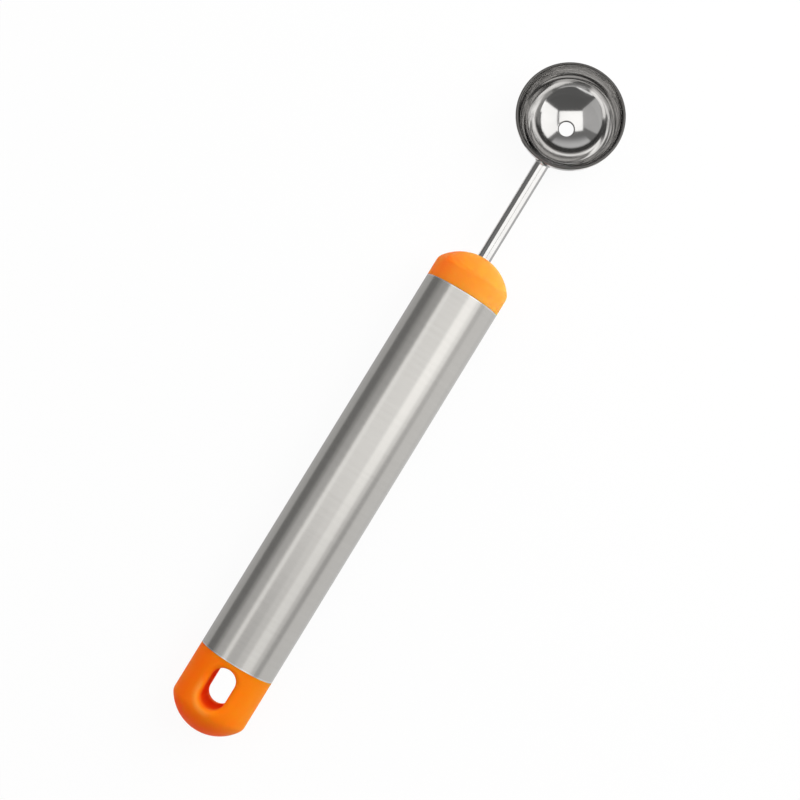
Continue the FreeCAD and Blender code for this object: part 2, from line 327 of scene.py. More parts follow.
class BowlPolish:
    """The polish of the bowl and the painted reflections on it, by where a point lies from the middle of the
    bowl's ball.

    A zone holds the two shares of the bowl's radius between which a mask goes from 0 to 1.
    """

    BROAD_SCALES = (25.0, 25.0, 900.0)
    FINE_SCALES = (70.0, 70.0, 5000.0)
    BROAD_TILT = 0.7
    FINE_TILT = 0.2
    BROAD_LEVELS = (0.25, 0.55)

    TIP_ZONE = (0.0, 0.6)
    TIP_SHIFT = 0.08
    WAVE_ZONE = (0.58, 0.75)
    BOTTOM_ZONE = (0.55, 0.68)
    # Zones of the painted bright reflection ring, the painted dark reflection band and the painted bright
    # upper wall.
    RING_START_ZONE = (0.58, 0.62)
    RING_END_ZONE = (0.68, 0.72)
    DARK_BAND_ZONE = (0.74, 0.82)
    UPPER_ZONE = (0.78, 0.86)

    BOTTOM_MIDDLE = (2.2 * MM, 0.0, 0.0)
    BOTTOM_TURN = math.radians(10)
    BOTTOM_PULL = 0.18
    # Share of the painted dark reflection kept on the rod's side.
    LEAST_DARK_BAND = 0.05
    # Heights and widths of the rim and vent-edge mask, which carries a painted dark reflection and more
    # roughness.
    RIM_HEIGHTS = (-0.5 * MM, -0.15 * MM)
    VENT_WIDTHS = (0.15 * MM, 0.4 * MM)
    WALL_DEPTHS = (0.7, 0.3)
    CUT_ROUGHNESS = 0.3

    def __init__(self, sheet, size):
        self.sheet = sheet
        self.size = size
        tilt = (0.0, size.bowl_tilt, 0.0)
        placed = {"Vector": sheet.place(), "Location": bowl_centre(size), "Rotation": tilt}
        self.point = sheet.node("ShaderNodeMapping", {"vector_type": "TEXTURE"}, placed)
        self.ahead, _, self.height = sheet.split(self.point)
        self.flat = sheet.vector("MULTIPLY", self.point, (1.0, 1.0, 0.0))
        self.spread = self.distance(self.flat)
        self.broad = sheet.streaks(self.point, self.BROAD_SCALES, 1.0)
        depths = [BOWL_RADIUS - depth * size.bowl_wall for depth in self.WALL_DEPTHS]
        self.inner = 1.0 - sheet.ranged(self.distance(self.point), *depths)

    def distance(self, vector):
        """The length of a vector."""
        return self.sheet.vector("LENGTH", vector, output="Value")

    def within(self, value, zone):
        """The mask of a zone."""
        return self.sheet.ranged(value, zone[0] * BOWL_RADIUS, zone[1] * BOWL_RADIUS)

    def normal(self):
        """The surface with the wheel's waves on its wall, and a bottom a little flatter than a ball's."""
        sheet = self.sheet
        tilt = self.size.bowl_tilt
        fine = sheet.streaks(self.point, self.FINE_SCALES, 2.0)
        waves = self.BROAD_TILT * (self.broad - 0.5) + self.FINE_TILT * (fine - 0.5)
        shift = self.TIP_SHIFT * BOWL_RADIUS * self.within(self.ahead, self.TIP_ZONE)
        wall = self.within(self.spread - shift, self.WAVE_ZONE)
        from_middle = sheet.vector("SUBTRACT", self.flat, self.BOTTOM_MIDDLE)
        bottom = 1.0 - self.within(self.distance(from_middle), self.BOTTOM_ZONE)
        waved = sheet.leaned(sheet.facing(), tilt, waves * wall)
        pull = self.BOTTOM_PULL * self.inner * bottom
        return sheet.vector("NORMALIZE", sheet.leaned(waved, tilt + self.BOTTOM_TURN, pull))

    def colour(self, look, steel):
        """Steel with a painted bright reflection on the rod's side, and a painted dark reflection towards the
        tip that the broad noise breaks into streaks.
        """
        tipward = self.within(self.ahead, (-1.0, 1.0))
        ring = self.within(self.spread, self.RING_START_ZONE)
        ring = ring * (1.0 - self.within(self.spread, self.RING_END_ZONE))
        # Painted bright reflection on the inner wall, on the rod's side.
        painted_shine = self.inner * (ring + self.within(self.spread, self.UPPER_ZONE))
        # Painted dark reflection on the upper inner wall, broken into streaks by the broad noise, mostly
        # towards the tip.
        painted_dark_streaks = self.inner * self.within(self.spread, self.DARK_BAND_ZONE)
        painted_dark_streaks = painted_dark_streaks * self.sheet.ranged(self.broad, *self.BROAD_LEVELS)
        painted_dark_share = painted_dark_streaks * (self.LEAST_DARK_BAND + (1.0 - self.LEAST_DARK_BAND) * tipward)
        steel = self.sheet.mixed(painted_shine * (1.0 - tipward), steel, look.mirror_painted_bright_ring)
        return self.sheet.mixed(painted_dark_share, steel, look.mirror_painted_dark_band)

    def cut(self):
        """The mask of the rim and the edge of the vent hole, which get a painted dark reflection."""
        rim = self.sheet.ranged(self.height, *self.RIM_HEIGHTS)
        near, far = (self.size.vent_radius + width for width in self.VENT_WIDTHS)
        vent = 1.0 - self.sheet.ranged(self.spread, near, far)
        return self.sheet.node("ShaderNodeMath", {"operation": "MAXIMUM"}, {0: rim, 1: vent})


def spun_steel(sheet, look):
    """Mirror polish on a pressed bowl: the wheel's waves run round its wall, which carries painted bright and
    dark reflections, and its rim and vent edge carry a painted dark reflection.
    """
    bowl = BowlPolish(sheet, bpy.context.scene.baller_sizes)
    steel, roughness = mirror_polish(sheet, look, bowl.point)
    # The rim and vent edge get a painted dark reflection and more roughness.
    cut = bowl.cut()
    sheet.surface(sheet.node("ShaderNodeBsdfPrincipled", inputs={
        "Base Color": sheet.mixed(cut, bowl.colour(look, steel), look.mirror_painted_dark_rim),
        "Metallic": 1.0,
        "Roughness": roughness + bowl.CUT_ROUGHNESS * cut,
        "Normal": bowl.normal(),
    }))


def brushed_steel(sheet, look):
    """Steel brushed round the tube: each fine stroke tips the surface along the tube, and a painted highlight
    runs round its two ends.
    """
    stroke_scales = (30000.0, 60.0, 60.0)
    band_scales = (900.0, 40.0, 40.0)
    shade_levels = (0.3, 0.7)
    highlight_widths = (0.5 * MM, 0.3 * MM)
    strokes = sheet.streaks(sheet.place(), stroke_scales, 3.0, 0.7)
    bands = sheet.streaks(sheet.place(), band_scales, 3.0)
    middle = (TUBE_LOW.x + TUBE_HIGH.x) / 2
    along = sheet.split(sheet.place())[0]
    away = sheet.node("ShaderNodeMath", {"operation": "ABSOLUTE"}, {0: along - middle})
    # Painted highlight round both ends of the tube.
    edge = sheet.ranged(away, *(TUBE_HIGH.x - middle - width for width in highlight_widths))
    tilt = sheet.node("ShaderNodeCombineXYZ", inputs={"X": (strokes - 0.5) * look.brushed_tilt})
    shade = sheet.ranged(0.6 * bands + 0.4 * strokes, *shade_levels)
    steel = sheet.mixed(shade, look.brushed_dark, look.brushed_light)
    sheet.surface(sheet.node("ShaderNodeBsdfPrincipled", inputs={
        "Base Color": sheet.mixed(edge, steel, look.brushed_painted_highlight),
        "Metallic": 1.0,
        "Roughness": look.brushed_roughness + 0.02 * (bands - 0.5),
        "Normal": sheet.vector("NORMALIZE", sheet.vector("ADD", sheet.facing(), tilt)),
    }))


def orange_plastic(sheet, look):
    """Moulded plastic with a soft sheen and a fine grain.

    Its colour holds painted light and shade: paler as painted light on the front cap, most on its -Y side,
    with a painted highlight on the rear and +Y side of the slot's lip; deeper as painted shade on the rear
    dome and on the +Y side; and redder as painted shade and red bounce light in the slot.
    """
    cloud_scale = 220.0
    grain_scale = 5200.0
    dome_shade_reach = (0.5 * MM, 8 * MM)
    painted_light_span = (-0.7 * HANDLE_RADIUS, 0.3 * HANDLE_RADIUS)
    painted_shade_span = (0.2 * HANDLE_RADIUS, 0.8 * HANDLE_RADIUS)
    painted_shade_share = 0.54
    lip_highlight_share = 0.6
    place = sheet.place()
    along, across, _ = sheet.split(place)
    cloud = sheet.noise(place, cloud_scale, 2.0)
    grain = sheet.noise(place, grain_scale, 2.0)
    # Painted light: the front cap is paler, most on its -Y side.
    front = sheet.ranged(along, REAR_HIGH.x, FRONT_LOW.x)
    painted_light_side = 0.45 + 0.55 * (1.0 - sheet.ranged(across, *painted_light_span))
    # Painted shade on the rear dome, with a little noise.
    dome = 0.9 + 0.2 * cloud - sheet.ranged(along, *(REAR_LOW.x + reach for reach in dome_shade_reach))
    # Painted shade on the +Y side, a little less on the front cap.
    side = painted_shade_share * sheet.ranged(across, *painted_shade_span) * (1.0 - 0.15 * front)
    slot, lip = painted_slot_masks(sheet, place)
    # Painted light, painted shade, a painted highlight on the slot's lip and painted shade in the slot, mixed
    # in turn.
    colour = sheet.mixed(front * painted_light_side, look.orange_light, look.orange_painted_light)
    colour = sheet.mixed(dome + side, colour, look.orange_painted_shade)
    colour = sheet.mixed(lip_highlight_share * lip, colour, look.orange_painted_light)
    colour = sheet.mixed(slot, colour, look.orange_painted_slot_shade)
    roughness = look.plastic_roughness + 0.08 * (cloud - 0.5) + 0.1 * (grain - 0.5) + 0.5 * slot
    skin = sheet.node("ShaderNodeBump", inputs={"Strength": 0.12, "Distance": 0.05 * MM, "Height": grain})
    sheet.surface(sheet.node("ShaderNodeBsdfPrincipled", inputs={
        "Base Color": colour,
        "Roughness": roughness,
        "Normal": skin,
        "IOR": 1.12,
        "Specular Tint": (1.0, 0.6, 0.2, 1.0),
        "Subsurface Weight": 1.0,
        "Subsurface Radius": (1.0, 0.04, 0.01),
        "Subsurface Scale": 1.5 * MM,
    }))


def painted_slot_masks(sheet, place):
    """Two masks: 1 for the painted shade and red bounce light on the wall of the hanging slot, strongest half
    way down it, and 1 for the painted highlight on the rear and the +Y side of its lip.
    """
    size = bpy.context.scene.baller_sizes
    wall = size.slot_width / 2
    lip = size.slot_lip
    straight = (size.slot_length - size.slot_width) / 2
    from_slot = sheet.vector("SUBTRACT", place, slot_centre(size))
    aside = sheet.vector("ABSOLUTE", from_slot)
    past = sheet.vector("MAXIMUM", sheet.vector("SUBTRACT", aside, (straight, 0.0, 0.0)), (0.0, 0.0, 0.0))
    spread = sheet.vector("LENGTH", sheet.vector("MULTIPLY", past, (1.0, 1.0, 0.0)), output="Value")
    rise = sheet.split(aside)[2]
    # The painted shade in the slot is strongest half way down its wall.
    mid_depth_shade = 1.0 - 0.6 * sheet.ranged(rise, 0.4 * HANDLE_RADIUS, 0.95 * HANDLE_RADIUS)
    depth = mid_depth_shade * (1.0 - sheet.ranged(spread, wall, wall + 0.4 * lip))
    ahead, across, _ = sheet.split(from_slot)
    # The painted highlight lies on the rear and the +Y side of the lip.
    rear = (1.0 - sheet.ranged(ahead, -straight, straight)) * sheet.ranged(across, -0.8 * wall, 0.0)
    outer = 1.0 - sheet.ranged(spread, wall + 0.9 * lip, wall + 2.2 * lip)
    return depth, rear * outer * sheet.ranged(spread, wall + 0.2 * lip, wall + 0.8 * lip)


def slot_centre(size):
    """The middle of the hanging slot."""
    return Vector((TUBE_LOW.x - size.slot_to_tube - size.slot_length / 2, 0.0, HANDLE_HEIGHT))


class Outline:
    """A wire drawn in the X-Z plane, from which a spin makes a turned piece. X runs along the axis."""

    HOLD = 0.15 * MM

    def __init__(self, x, radius, mesh=None):
        self.mesh = mesh or bmesh.new()
        self.tip = self.mesh.verts.new((x, 0.0, radius))
        self.drawn = [self.tip]

    def step(self, x, radius):
        """Draws one straight edge to a point."""
        self.tip = bmesh.ops.extrude_vert_indiv(self.mesh, verts=[self.tip])["verts"][0]
        self.tip.co = (x, 0.0, radius)
        self.drawn.append(self.tip)

    def steps(self, x, radius, count):
        """Draws a straight stretch in equal edges."""
        begin = self.tip.co.copy()
        end = Vector((x, 0.0, radius))
        for number in range(1, count + 1):
            point = begin.lerp(end, number / count)
            self.step(point.x, point.z)

    def line(self, x, radius):
        """Draws a straight stretch with a point just inside each end, which keeps its shading straight."""
        begin = self.tip.co.copy()
        run = Vector((x, 0.0, radius)) - begin
        if run.length > 4 * self.HOLD:
            inset = run.normalized() * self.HOLD
            self.step(begin.x + inset.x, begin.z + inset.z)
            self.step(x - inset.x, radius - inset.z)
        self.step(x, radius)

    def arc(self, x, radius, turn, steps):
        """Draws a round stretch about a centre. A positive angle turns from X towards Z."""
        known = set(self.mesh.verts)
        last = bmesh.ops.spin(
            self.mesh, geom=[self.tip], cent=(x, 0.0, radius), axis=(0.0, -1.0, 0.0),
            angle=turn, steps=steps,
        )["geom_last"]
        self.tip = next(part for part in last if isinstance(part, bmesh.types.BMVert))
        self.drawn += [vert for vert in self.mesh.verts if vert not in known]

    def close(self):
        """Joins the last point to the first."""
        self.mesh.edges.new((self.tip, self.drawn[0]))

    def turn(self, axis, steps, turn=2 * math.pi):
        """Spins the wire about an axis through the origin, all round or by less."""
        whole = math.isclose(turn, 2 * math.pi)
        bmesh.ops.spin(
            self.mesh, geom=self.mesh.verts[:] + self.mesh.edges[:], cent=(0.0, 0.0, 0.0), axis=axis,
            angle=turn, steps=steps, use_merge=whole,
        )
        bmesh.ops.remove_doubles(self.mesh, verts=self.mesh.verts[:], dist=WELD_DISTANCE)
        return self.mesh


class CapDome:
    """The round end of a cap: a dome, and a corner round that leads over to the cap's side."""

    DOME_STEPS = 28
    CORNER_STEPS = 6

    def __init__(self, tip, height, corner, ahead):
        self.sphere = dome_sphere(height)
        self.centre = tip - ahead * self.sphere
        self.corner = corner
        self.ahead = ahead
        along = math.sqrt((self.sphere - corner) ** 2 - (HANDLE_RADIUS - corner) ** 2)
        self.half = math.atan2(HANDLE_RADIUS - corner, along)
        self.shoulder = self.centre + ahead * along

    def draw(self, outline, opening=0.0):
        """Draws the dome, from an opening's edge if it has one, and the corner round."""
        outline.arc(self.centre, 0.0, self.ahead * (self.half - opening), self.DOME_STEPS)
        over = self.ahead * (QUARTER_TURN - self.half)
        outline.arc(self.shoulder, HANDLE_RADIUS - self.corner, over, self.CORNER_STEPS)

    def draw_spigot(self, outline, size, seam, end, inner):
        """Draws the cap's side as far as the tube and the spigot in the tube, down to an inner radius."""
        edge = seam + self.ahead * size.seam_round
        outer = spigot_radius(size)
        outline.line(edge, HANDLE_RADIUS)
        outline.arc(edge, HANDLE_RADIUS - size.seam_round, self.ahead * QUARTER_TURN, EDGE_STEPS)
        outline.line(seam, outer)
        outline.line(end + self.ahead * size.spigot_chamfer, outer)
        outline.step(end, outer - size.spigot_chamfer)
        outline.line(end, inner)

    def radius_at(self, x):
        """Radius of the cap at a place along the handle."""
        past = (x - self.shoulder) * self.ahead
        if past <= 0.0:
            return HANDLE_RADIUS
        if past < self.corner * math.cos(self.half):
            return HANDLE_RADIUS - self.corner + math.sqrt(self.corner ** 2 - past ** 2)
        return math.sqrt(self.sphere ** 2 - (x - self.centre) ** 2)


def dome_sphere(height):
    """Radius of the ball that a dome of this height is part of."""
    return (HANDLE_RADIUS ** 2 + height ** 2) / (2 * height)


def spigot_radius(size):
    """Outer radius of a spigot, which clears the tube's bore."""
    return HANDLE_RADIUS - size.tube_wall - size.spigot_gap


def grown(mesh, edges):
    """Extrudes a loop of edges, and gives the new points and the new loop."""
    drawn = bmesh.ops.extrude_edge_only(mesh, edges=edges)["geom"]
    verts = {part for part in drawn if isinstance(part, bmesh.types.BMVert)}
    made = [part for part in drawn if isinstance(part, bmesh.types.BMEdge)]
    return verts, [edge for edge in made if set(edge.verts) <= verts]


def raised(mesh):
    """Lifts a mesh that was made about the X axis onto the handle's axis."""
    bmesh.ops.translate(mesh, verts=mesh.verts[:], vec=(0.0, 0.0, HANDLE_HEIGHT))
    return mesh


FINISHES = {
    "finish_brushed": brushed_steel,
    "finish_orange": orange_plastic,
    "finish_polished": polished_steel,
    "finish_spun": spun_steel,
}


def finish(name):
    """The material of this name, made when it is first asked for."""
    material = bpy.data.materials.get(name)
    if material is None:
        material = bpy.data.materials.new(name)
        FINISHES[name](NodeSheet(material), bpy.context.scene.baller_finishes)
    return material


def finished_piece(mesh, name, look, node):
    """Turns a bmesh into the named piece: outward faces, soft shading, finish and place in the frame."""
    bmesh.ops.recalc_face_normals(mesh, faces=mesh.faces[:])
    data = bpy.data.meshes.new(name)
    mesh.to_mesh(data)
    mesh.free()
    data.polygons.foreach_set("use_smooth", [True] * len(data.polygons))
    data.set_sharp_from_angle(angle=SMOOTH_LIMIT)
    data.materials.append(finish(look))
    piece = bpy.data.objects.new(name, data)
    bpy.context.scene.collection.objects.link(piece)
    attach(piece, "root")
    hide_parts(node)


class BuildTube(bpy.types.Operator):
    """Build the brushed handle tube"""

    bl_idname = "baller.build_tube"
    bl_label = "Handle tube"

    def execute(self, context):
        size = context.scene.baller_sizes
        inner = HANDLE_RADIUS - size.tube_wall
        edge = size.tube_round
        back, front = TUBE_LOW.x, TUBE_HIGH.x
        outline = Outline(back, inner)
        outline.line(back, HANDLE_RADIUS - edge)
        outline.arc(back + edge, HANDLE_RADIUS - edge, -QUARTER_TURN, EDGE_STEPS)
        outline.line(front - edge, HANDLE_RADIUS)
        outline.arc(front - edge, HANDLE_RADIUS - edge, -QUARTER_TURN, EDGE_STEPS)
        outline.line(front, inner)
        outline.close()
        mesh = raised(outline.turn((1.0, 0.0, 0.0), size.turn_steps))
        finished_piece(mesh, "tube_brushed", "finish_brushed", "handle_tube")
        return {"FINISHED"}


class BuildFrontCap(bpy.types.Operator):
    """Build the domed front cap that holds the rod"""

    bl_idname = "baller.build_front_cap"
    bl_label = "Front cap"

    def execute(self, context):
        size = context.scene.baller_sizes
        seam = TUBE_HIGH.x
        sphere = dome_sphere(size.front_dome)
        opening = math.asin(ROD_RADIUS / sphere)
        tip = FRONT_HIGH.x + sphere * (1 - math.cos(opening))
        dome = CapDome(tip, size.front_dome, size.dome_round, 1)
        outline = Outline(FRONT_HIGH.x, ROD_RADIUS)
        dome.draw(outline, opening)
        dome.draw_spigot(outline, size, seam, seam - size.front_spigot, ROD_RADIUS)
        outline.close()
        mesh = raised(outline.turn((1.0, 0.0, 0.0), size.turn_steps))
        finished_piece(mesh, "cap_front", "finish_orange", "front_cap")
        return {"FINISHED"}


class BuildRearCap(bpy.types.Operator):
    """Build the domed rear cap with its hanging slot"""

    bl_idname = "baller.build_rear_cap"
    bl_label = "Rear cap"

    LIP_STEPS = 8
    END_STEPS = 24
    SIDE_CUTS = 9
    JOIN_CUTS = 5
    WINDOW = math.radians(33.5)
    WINDOW_PAST = 2.6 * MM
    LONG_SIDE = 4 * MM
    OUTSIDE = 0.7 * HANDLE_RADIUS
    MIRROR_DISTANCE = 1e-6

    def execute(self, context):
        size = context.scene.baller_sizes
        seam = TUBE_LOW.x
        dome = CapDome(REAR_LOW.x, size.rear_dome, size.dome_round, -1)
        core = spigot_radius(size) - size.spigot_wall
        outline = Outline(REAR_LOW.x, 0.0)
        dome.draw(outline)
        dome.draw_spigot(outline, size, seam, seam + size.rear_spigot, core)
        outline.line(seam, core)
        outline.line(seam, 0.0)
        bmesh.ops.rotate(
            outline.mesh, verts=outline.mesh.verts[:], cent=(0.0, 0.0, 0.0),
            matrix=Matrix.Rotation(QUARTER_TURN, 3, "X"),
        )
        mesh = outline.turn((-1.0, 0.0, 0.0), size.turn_steps // 2, math.pi)
        hole = self.cut_window(mesh, dome.shoulder - self.WINDOW_PAST, seam - size.seam_round)
        side_steps = (len(hole) - 2 * self.END_STEPS) // 2
        mouth = self.slot_wall(mesh, size, side_steps, dome)
        self.join(mesh, hole, mouth, dome)
        bmesh.ops.mirror(
            mesh, geom=mesh.verts[:] + mesh.edges[:] + mesh.faces[:], matrix=Matrix(),
            merge_dist=self.MIRROR_DISTANCE, axis="Z",
        )
        bmesh.ops.remove_doubles(mesh, verts=mesh.verts[:], dist=WELD_DISTANCE)
        finished_piece(raised(mesh), "cap_rear", "finish_orange", "rear_cap")
        return {"FINISHED"}

    def cut_window(self, mesh, back, front):
        """Takes out the faces round the slot's mouth and gives the edges of the opening."""
        window = [face for face in mesh.faces if self.in_window(face.calc_center_median(), back, front)]
        bmesh.ops.delete(mesh, geom=window, context="FACES")
        rim = self.window_rim(mesh, back, front)
        sides = [edge for edge in rim if edge.calc_length() > self.LONG_SIDE]
        if len(sides) != 2:
            raise RuntimeError(f"the slot's window has {len(sides)} long sides instead of 2")
        bmesh.ops.subdivide_edges(mesh, edges=sides, cuts=self.SIDE_CUTS)
        return self.window_rim(mesh, back, front)

    def in_window(self, point, back, front, margin=0.0):
        """Whether a point of the cap's outside lies in the part that is remade round the slot."""
        turned = abs(math.atan2(point.y, point.z))
        along = back - margin < point.x < front + margin
        outside = math.hypot(point.y, point.z) > self.OUTSIDE
        return along and outside and turned < self.WINDOW + margin / HANDLE_RADIUS

    def window_rim(self, mesh, back, front):
        """The open edges round the window."""
        rim = []
        for edge in mesh.edges:
            middle = (edge.verts[0].co + edge.verts[1].co) / 2
            if edge.is_boundary and self.in_window(middle, back, front, MM):
                rim.append(edge)
        return rim

    def slot_wall(self, mesh, size, side_steps, dome):
        """Makes the upper half of the slot's wall with its round lip and gives the lip's outer edges."""
        end_radius = size.slot_width / 2
        straight = size.slot_length / 2 - end_radius
        middle = slot_centre(size) - Vector((0.0, 0.0, HANDLE_HEIGHT))
        wire = Outline(straight, -end_radius, mesh)
        wire.arc(straight, 0.0, math.pi, self.END_STEPS)
        wire.steps(-straight, end_radius, side_steps)
        wire.arc(-straight, 0.0, math.pi, self.END_STEPS)
        wire.steps(straight, -end_radius, side_steps)
        bmesh.ops.remove_doubles(mesh, verts=wire.drawn, dist=WELD_DISTANCE)
        loop = [vert for vert in wire.drawn if vert.is_valid]
        flat = Matrix.Rotation(-QUARTER_TURN, 3, "X")
        bmesh.ops.rotate(mesh, verts=loop, cent=(0.0, 0.0, 0.0), matrix=flat)
        feet = {}
        for vert in loop:
            core = Vector((max(-straight, min(straight, vert.co.x)), 0.0, 0.0))
            outward = (vert.co - core).normalized()
            vert.co = middle + core + outward * end_radius
            feet[vert] = (vert.co.copy(), outward)
        edges = list({edge for vert in loop for edge in vert.link_edges})
        for step in range(self.LIP_STEPS + 1):
            verts, edges = grown(mesh, edges)
            above = {}
            for vert in verts:
                below = [edge.other_vert(vert) for edge in vert.link_edges]
                above[vert] = next(feet[other] for other in below if other in feet)
                vert.co = self.lip_point(*above[vert], size.slot_lip, step / self.LIP_STEPS)
                self.fit_side(vert, dome.radius_at(vert.co.x) / HANDLE_RADIUS)
            feet = above
        return edges

    @staticmethod
    def lip_point(foot, outward, lip, turn):
        """A point on the lip: a ball of its radius rolls along the slot's wall and the cap's round side."""
        ball = foot + outward * lip
        ball.z = math.sqrt((HANDLE_RADIUS - lip) ** 2 - ball.y ** 2)
        side = Vector((0.0, ball.y, ball.z)).normalized()
        return ball + (-outward).slerp(side, turn) * lip

    @staticmethod
    def fit_side(vert, stretch):
        """Moves a point towards or away from the handle's axis."""
        vert.co.y *= stretch
        vert.co.z *= stretch

    def join(self, mesh, hole, mouth, dome):
        """Fills the room between the window's edge and the lip, on the cap's round surface."""
        rims = set(hole) | set(mouth)
        bridge = bmesh.ops.bridge_loops(mesh, edges=hole + mouth)
        across = [edge for edge in bridge["edges"] if edge not in rims]
        cut = bmesh.ops.subdivide_edges(mesh, edges=across, cuts=self.JOIN_CUTS, use_grid_fill=True)
        for part in cut["geom_inner"]:
            if isinstance(part, bmesh.types.BMVert):
                self.fit_side(part, dome.radius_at(part.co.x) / math.hypot(part.co.y, part.co.z))


def bowl_centre(size):
    """The middle of the bowl's ball, from the handle's axis and the bowl's box."""
    reach = BOWL_RADIUS * math.cos(size.bowl_tilt) - size.rim_round * (1 - math.cos(size.bowl_tilt))
    return Vector((BOWL_HIGH.x - reach, 0.0, HANDLE_HEIGHT + size.rim_above_rod))


def on_bowl(size, radius, y, z):
    """Where a line along the handle, placed from the handle's axis, meets a ball about the bowl's centre."""
    centre = bowl_centre(size) - Vector((0.0, 0.0, HANDLE_HEIGHT))
    return centre.x - math.sqrt(radius ** 2 - y ** 2 - (z - centre.z) ** 2)


class BuildRod(bpy.types.Operator):
    """Build the polished rod between handle and bowl"""

    bl_idname = "baller.build_rod"
    bl_label = "Neck rod"

    SEAT_STRETCH = 5 * MM

    def execute(self, context):
        size = context.scene.baller_sizes
        chamfer = size.rod_chamfer
        seat = BOWL_RADIUS - size.bowl_wall / 2
        outline = Outline(ROD_LOW.x, 0.0)
        outline.line(ROD_LOW.x, ROD_RADIUS - chamfer)
        outline.step(ROD_LOW.x + chamfer, ROD_RADIUS)
        outline.line(ROD_HIGH.x - self.SEAT_STRETCH, ROD_RADIUS)
        outline.step(ROD_HIGH.x, ROD_RADIUS)
        outline.step(ROD_HIGH.x, 0.0)
        mesh = outline.turn((1.0, 0.0, 0.0), size.turn_steps // 2)
        for vert in mesh.verts:
            if vert.co.x > ROD_HIGH.x - MM:
                vert.co.x = on_bowl(size, seat, vert.co.y, vert.co.z)
        finished_piece(raised(mesh), "rod_polished", "finish_polished", "neck_rod")
        return {"FINISHED"}


class BuildWeld(bpy.types.Operator):
    """Build the weld bead between rod and bowl"""

    bl_idname = "baller.build_weld"
    bl_label = "Weld bead"

    STEPS = 8
    SUNK_RING = (0.0, -0.5)

    def execute(self, context):
        size = context.scene.baller_sizes
        mesh = bmesh.new()
        verts = bmesh.ops.create_circle(
            mesh, segments=size.turn_steps // 2, radius=ROD_RADIUS,
            matrix=Matrix.Rotation(QUARTER_TURN, 4, "Y"),
        )["verts"]
        first = mesh.edges[:]
        edges = first
        turns = [QUARTER_TURN * step / self.STEPS for step in range(self.STEPS + 1)]
        rings = [(math.sin(turn), math.cos(turn)) for turn in turns] + [self.SUNK_RING]
        self.place(verts, size, *rings[0])
        for ring in rings[1:]:
            verts, edges = grown(mesh, edges)
            self.place(verts, size, *ring)
        bmesh.ops.bridge_loops(mesh, edges=first + edges)
        finished_piece(raised(mesh), "weld_collar", "finish_polished", "weld_bead")
        return {"FINISHED"}

    @staticmethod
    def place(verts, size, off_rod, off_bowl):
        """Puts a ring of the bead at shares of its leg away from the rod and from the bowl."""
        leg = size.weld_leg
        for vert in verts:
            side = Vector((0.0, vert.co.y, vert.co.z)).normalized() * (ROD_RADIUS + leg * off_rod)
            along = on_bowl(size, BOWL_RADIUS + leg * off_bowl, side.y, side.z)
            vert.co = (along, side.y, side.z)


class BuildBowl(bpy.types.Operator):
    """Build the polished scoop bowl with its vent hole"""

    bl_idname = "baller.build_bowl"
    bl_label = "Scoop bowl"

    WALL_STEPS = 60
    RIM_STEPS = 6

    def execute(self, context):
        size = context.scene.baller_sizes
        outer = BOWL_RADIUS
        inner = outer - size.bowl_wall
        vent = size.vent_radius
        edge = size.vent_round
        rim = size.rim_round
        low = -math.sqrt((outer - edge) ** 2 - (vent + edge) ** 2)
        high = -math.sqrt((inner + edge) ** 2 - (vent + edge) ** 2)
        below = math.atan2(low, vent + edge)
        above = math.atan2(high, vent + edge)
        lip_outer = math.sqrt((outer - rim) ** 2 - rim ** 2)
        lip_inner = math.sqrt((inner + rim) ** 2 - rim ** 2)
        dip_outer = math.atan2(rim, lip_outer)
        dip_inner = math.atan2(rim, lip_inner)
        outline = Outline(vent, high)
        outline.step(vent, low)
        outline.arc(vent + edge, low, math.pi + below, EDGE_STEPS)
        outline.arc(0.0, 0.0, -dip_outer - below, self.WALL_STEPS)
        outline.arc(lip_outer, -rim, QUARTER_TURN + dip_outer, self.RIM_STEPS)
        outline.step(lip_inner, 0.0)
        outline.arc(lip_inner, -rim, QUARTER_TURN - dip_inner, self.RIM_STEPS)
        outline.arc(0.0, 0.0, above + dip_inner, self.WALL_STEPS)
        outline.arc(vent + edge, high, -above, EDGE_STEPS)
        outline.close()
        mesh = outline.turn((0.0, 0.0, 1.0), size.bowl_steps)
        place = Matrix.Translation(bowl_centre(size)) @ Matrix.Rotation(size.bowl_tilt, 4, "Y")
        bmesh.ops.transform(mesh, matrix=place, verts=mesh.verts[:])
        finished_piece(mesh, "bowl_polished", "finish_spun", "scoop_bowl")
        return {"FINISHED"}


